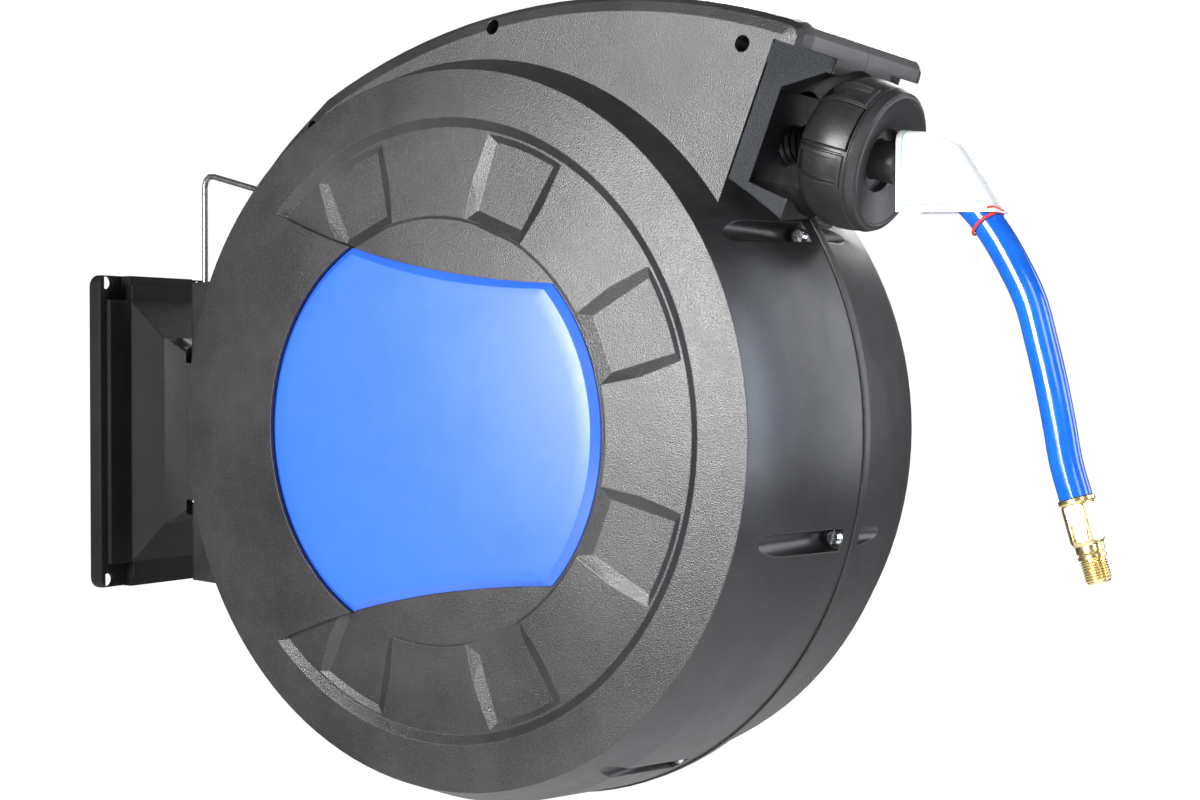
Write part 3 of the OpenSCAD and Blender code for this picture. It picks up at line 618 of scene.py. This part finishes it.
def tag_geo():
    """A folded sheet: rows along x, each up the front, over the fold and down the back, with a slight bow."""
    xs = spread([x for x, _ in TAG_TOP], 2.0)
    verts, faces = [], []
    half, sheet, bow_most = 9.0, 0.35, 0.5
    for side in (0, 1):
        t = sheet * side
        for x in xs:
            top, low = along(TAG_TOP, x), TAG_LOW - TAG_FALL * (x - TAG_X) / TAG_LONG
            h = min(7.0, max(0.4, top - low - 0.2))
            for k in range(WRAP + 1):
                front = k <= LEAF
                if front or k >= WRAP - LEAF:
                    s = k / LEAF if front else (WRAP - k) / LEAF
                    y = -half if front else half
                    z = low + (top - h - low) * s
                    bow = bow_most * math.sin(math.pi * s) * math.sin(math.pi * (x - TAG_X) / TAG_LONG)
                    y += bow if front else -bow
                    y -= math.copysign(t, y)
                else:
                    a = math.pi * (k - LEAF) / (WRAP - 2 * LEAF)
                    y = -(half - t) * math.cos(a)
                    z = top - h + (h - t) * math.sin(a)
                verts.append(Vector((x * MM, y * MM, z * MM)))
    m, w = len(xs), WRAP + 1
    for side in (0, 1):
        o = side * m * w
        for i in range(m - 1):
            for k in range(w - 1):
                q = (o + i * w + k, o + i * w + k + 1, o + (i + 1) * w + k + 1, o + (i + 1) * w + k)
                faces.append(q if side else q[::-1])
    o = m * w
    for i in range(m - 1):
        for k in (0, w - 1):
            faces.append((i * w + k, (i + 1) * w + k, o + (i + 1) * w + k, o + i * w + k))
    for k in range(w - 1):
        for i in (0, m - 1):
            faces.append((i * w + k, i * w + k + 1, o + i * w + k + 1, o + i * w + k))
    return verts, faces


tag = piece("paper_tag", tag_geo(), "paper", "reel", ["hang_tag"], angle=50)
tie_at = Matrix.Translation((0.6256, 0, 0.1168)) @ Matrix.Rotation(math.radians(-38), 4, "Y")
TIE_RING, TIE_WIRE, TIE_WAVE = 0.0093, 0.0008, 0.0003
tie_ring = []
for k in range(73):
    a = math.radians(5 * k)
    ring_point = Vector((TIE_RING * math.cos(a), TIE_RING * math.sin(a), TIE_WAVE * math.sin(3 * a)))
    tie_ring.append(tie_at @ ring_point)
# the loose end, in millimetres
TIE_END = [(9.0, -1.5, 0), (9.4, -3, 0.6), (9.2, -5.2, 1.6), (8.0, -7.6, 2.6), (6.4, -9.0, 3.4)]
tie_end = smooth_path([tie_at @ (Vector(v) * MM) for v in TIE_END], 4)
tie_geo = join([tube(tie_ring, TIE_WIRE, 10), tube(tie_end, TIE_WIRE, 10)])
tie = piece("twist_tie", tie_geo, "tie", "reel", ["tag_tie"])

# ---------- hose on the drum ----------
COIL_RADII = (70.4, 83.9, 97.4, 110.9)
COIL_TURNS, COIL_STEPS = 6, 40
COIL_WIDE, COIL_HOSE_R = 102.4, 0.0079
coil = []
for layer, r in enumerate(COIL_RADII):
    most = COIL_TURNS * COIL_STEPS
    for k in range(most + 1):
        f = k / most if layer % 2 == 0 else 1 - k / most
        a = 2 * math.pi * (k / COIL_STEPS + COIL_TURNS * layer)
        coil.append(case(r * math.cos(a), r * math.sin(a), COIL_WIDE * (f - 0.5)))
piece("hose_coil", tube(coil, COIL_HOSE_R, 14), "hose", "drum", ["wound_hose"])

# ---------- light ----------
world = bpy.data.worlds.new("world")
scene.world = world
world.use_nodes = True
wt = world.node_tree
bg = next(n for n in wt.nodes if n.type == "BACKGROUND")
bg.inputs[0].default_value = (0.93, 0.95, 1.0, 1)
bg.inputs[1].default_value = 0.13
white = wt.nodes.new("ShaderNodeBackground")
white.inputs[0].default_value = (1, 1, 1, 1)
white.inputs[1].default_value = 1.05
lp = wt.nodes.new("ShaderNodeLightPath")
mixer = wt.nodes.new("ShaderNodeMixShader")
out = next(n for n in wt.nodes if n.type == "OUTPUT_WORLD")
wt.links.new(lp.outputs["Is Camera Ray"], mixer.inputs[0])
wt.links.new(bg.outputs[0], mixer.inputs[1])
wt.links.new(white.outputs[0], mixer.inputs[2])
wt.links.new(mixer.outputs[0], out.inputs[0])


def area(name, at, look, w, h, power, color=(1, 1, 1)):
    """A w by h light of the given power in watts, turned towards a point."""
    lamp = bpy.data.lights.new(name, "AREA")
    lamp.shape, lamp.size, lamp.size_y = "RECTANGLE", w, h
    lamp.energy, lamp.color = power, color
    o = bpy.data.objects.new(name, lamp)
    scene.collection.objects.link(o)
    o.location = at
    o.rotation_mode = "QUATERNION"
    o.rotation_quaternion = (Vector(look) - Vector(at)).to_track_quat("-Z", "Y")


area("front", (0.13, -2.18, 0.40), (0.42, -0.1, 0.04), 0.9, 0.85, 86)
area("side", (2.2, -1.1, 0.9), (0.40, 0, 0), 0.6, 0.8, 8)
area("right", (2.35, 0.55, 0.25), (0.50, 0, 0), 0.55, 1.5, 19, (0.80, 0.88, 1.0))
area("back_right", (1.7, 1.6, 0.4), (0.45, 0, 0), 0.7, 1.4, 10, (0.95, 0.97, 1.0))
area("low_right", (1.7, -1.2, -0.85), (0.50, 0, 0.05), 0.9, 0.7, 12, (0.82, 0.90, 1.0))
area("left", (-1.6, -1.7, 0.3), (0.2, 0, 0), 1.2, 1.2, 1.5)
area("rear", (-0.4, 2.5, 1.3), (0.3, 0.1, -0.1), 1.5, 1.1, 45)

FLOOR_R, FLOOR_X, FLOOR_Z, FLOOR_SIDES = 4.5, 0.3, -1.3, 64
floor_ring = []
for k in range(FLOOR_SIDES):
    a = 2 * math.pi * k / FLOOR_SIDES
    floor_ring.append(Vector((FLOOR_R * math.cos(a) + FLOOR_X, FLOOR_R * math.sin(a), FLOOR_Z)))
floor = obj_from("floor", floor_ring, [tuple(range(FLOOR_SIDES))], False)
fm = Nodes("floor_paint", (0.86, 0.86, 0.86), 0.7)
fm.color(fm.mix(fm.fit(fm.noise(3, 3, 0.5), 0.3, 0.7), (0.85, 0.85, 0.85), (0.88, 0.88, 0.88)))
floor.data.materials.append(fm.mat)
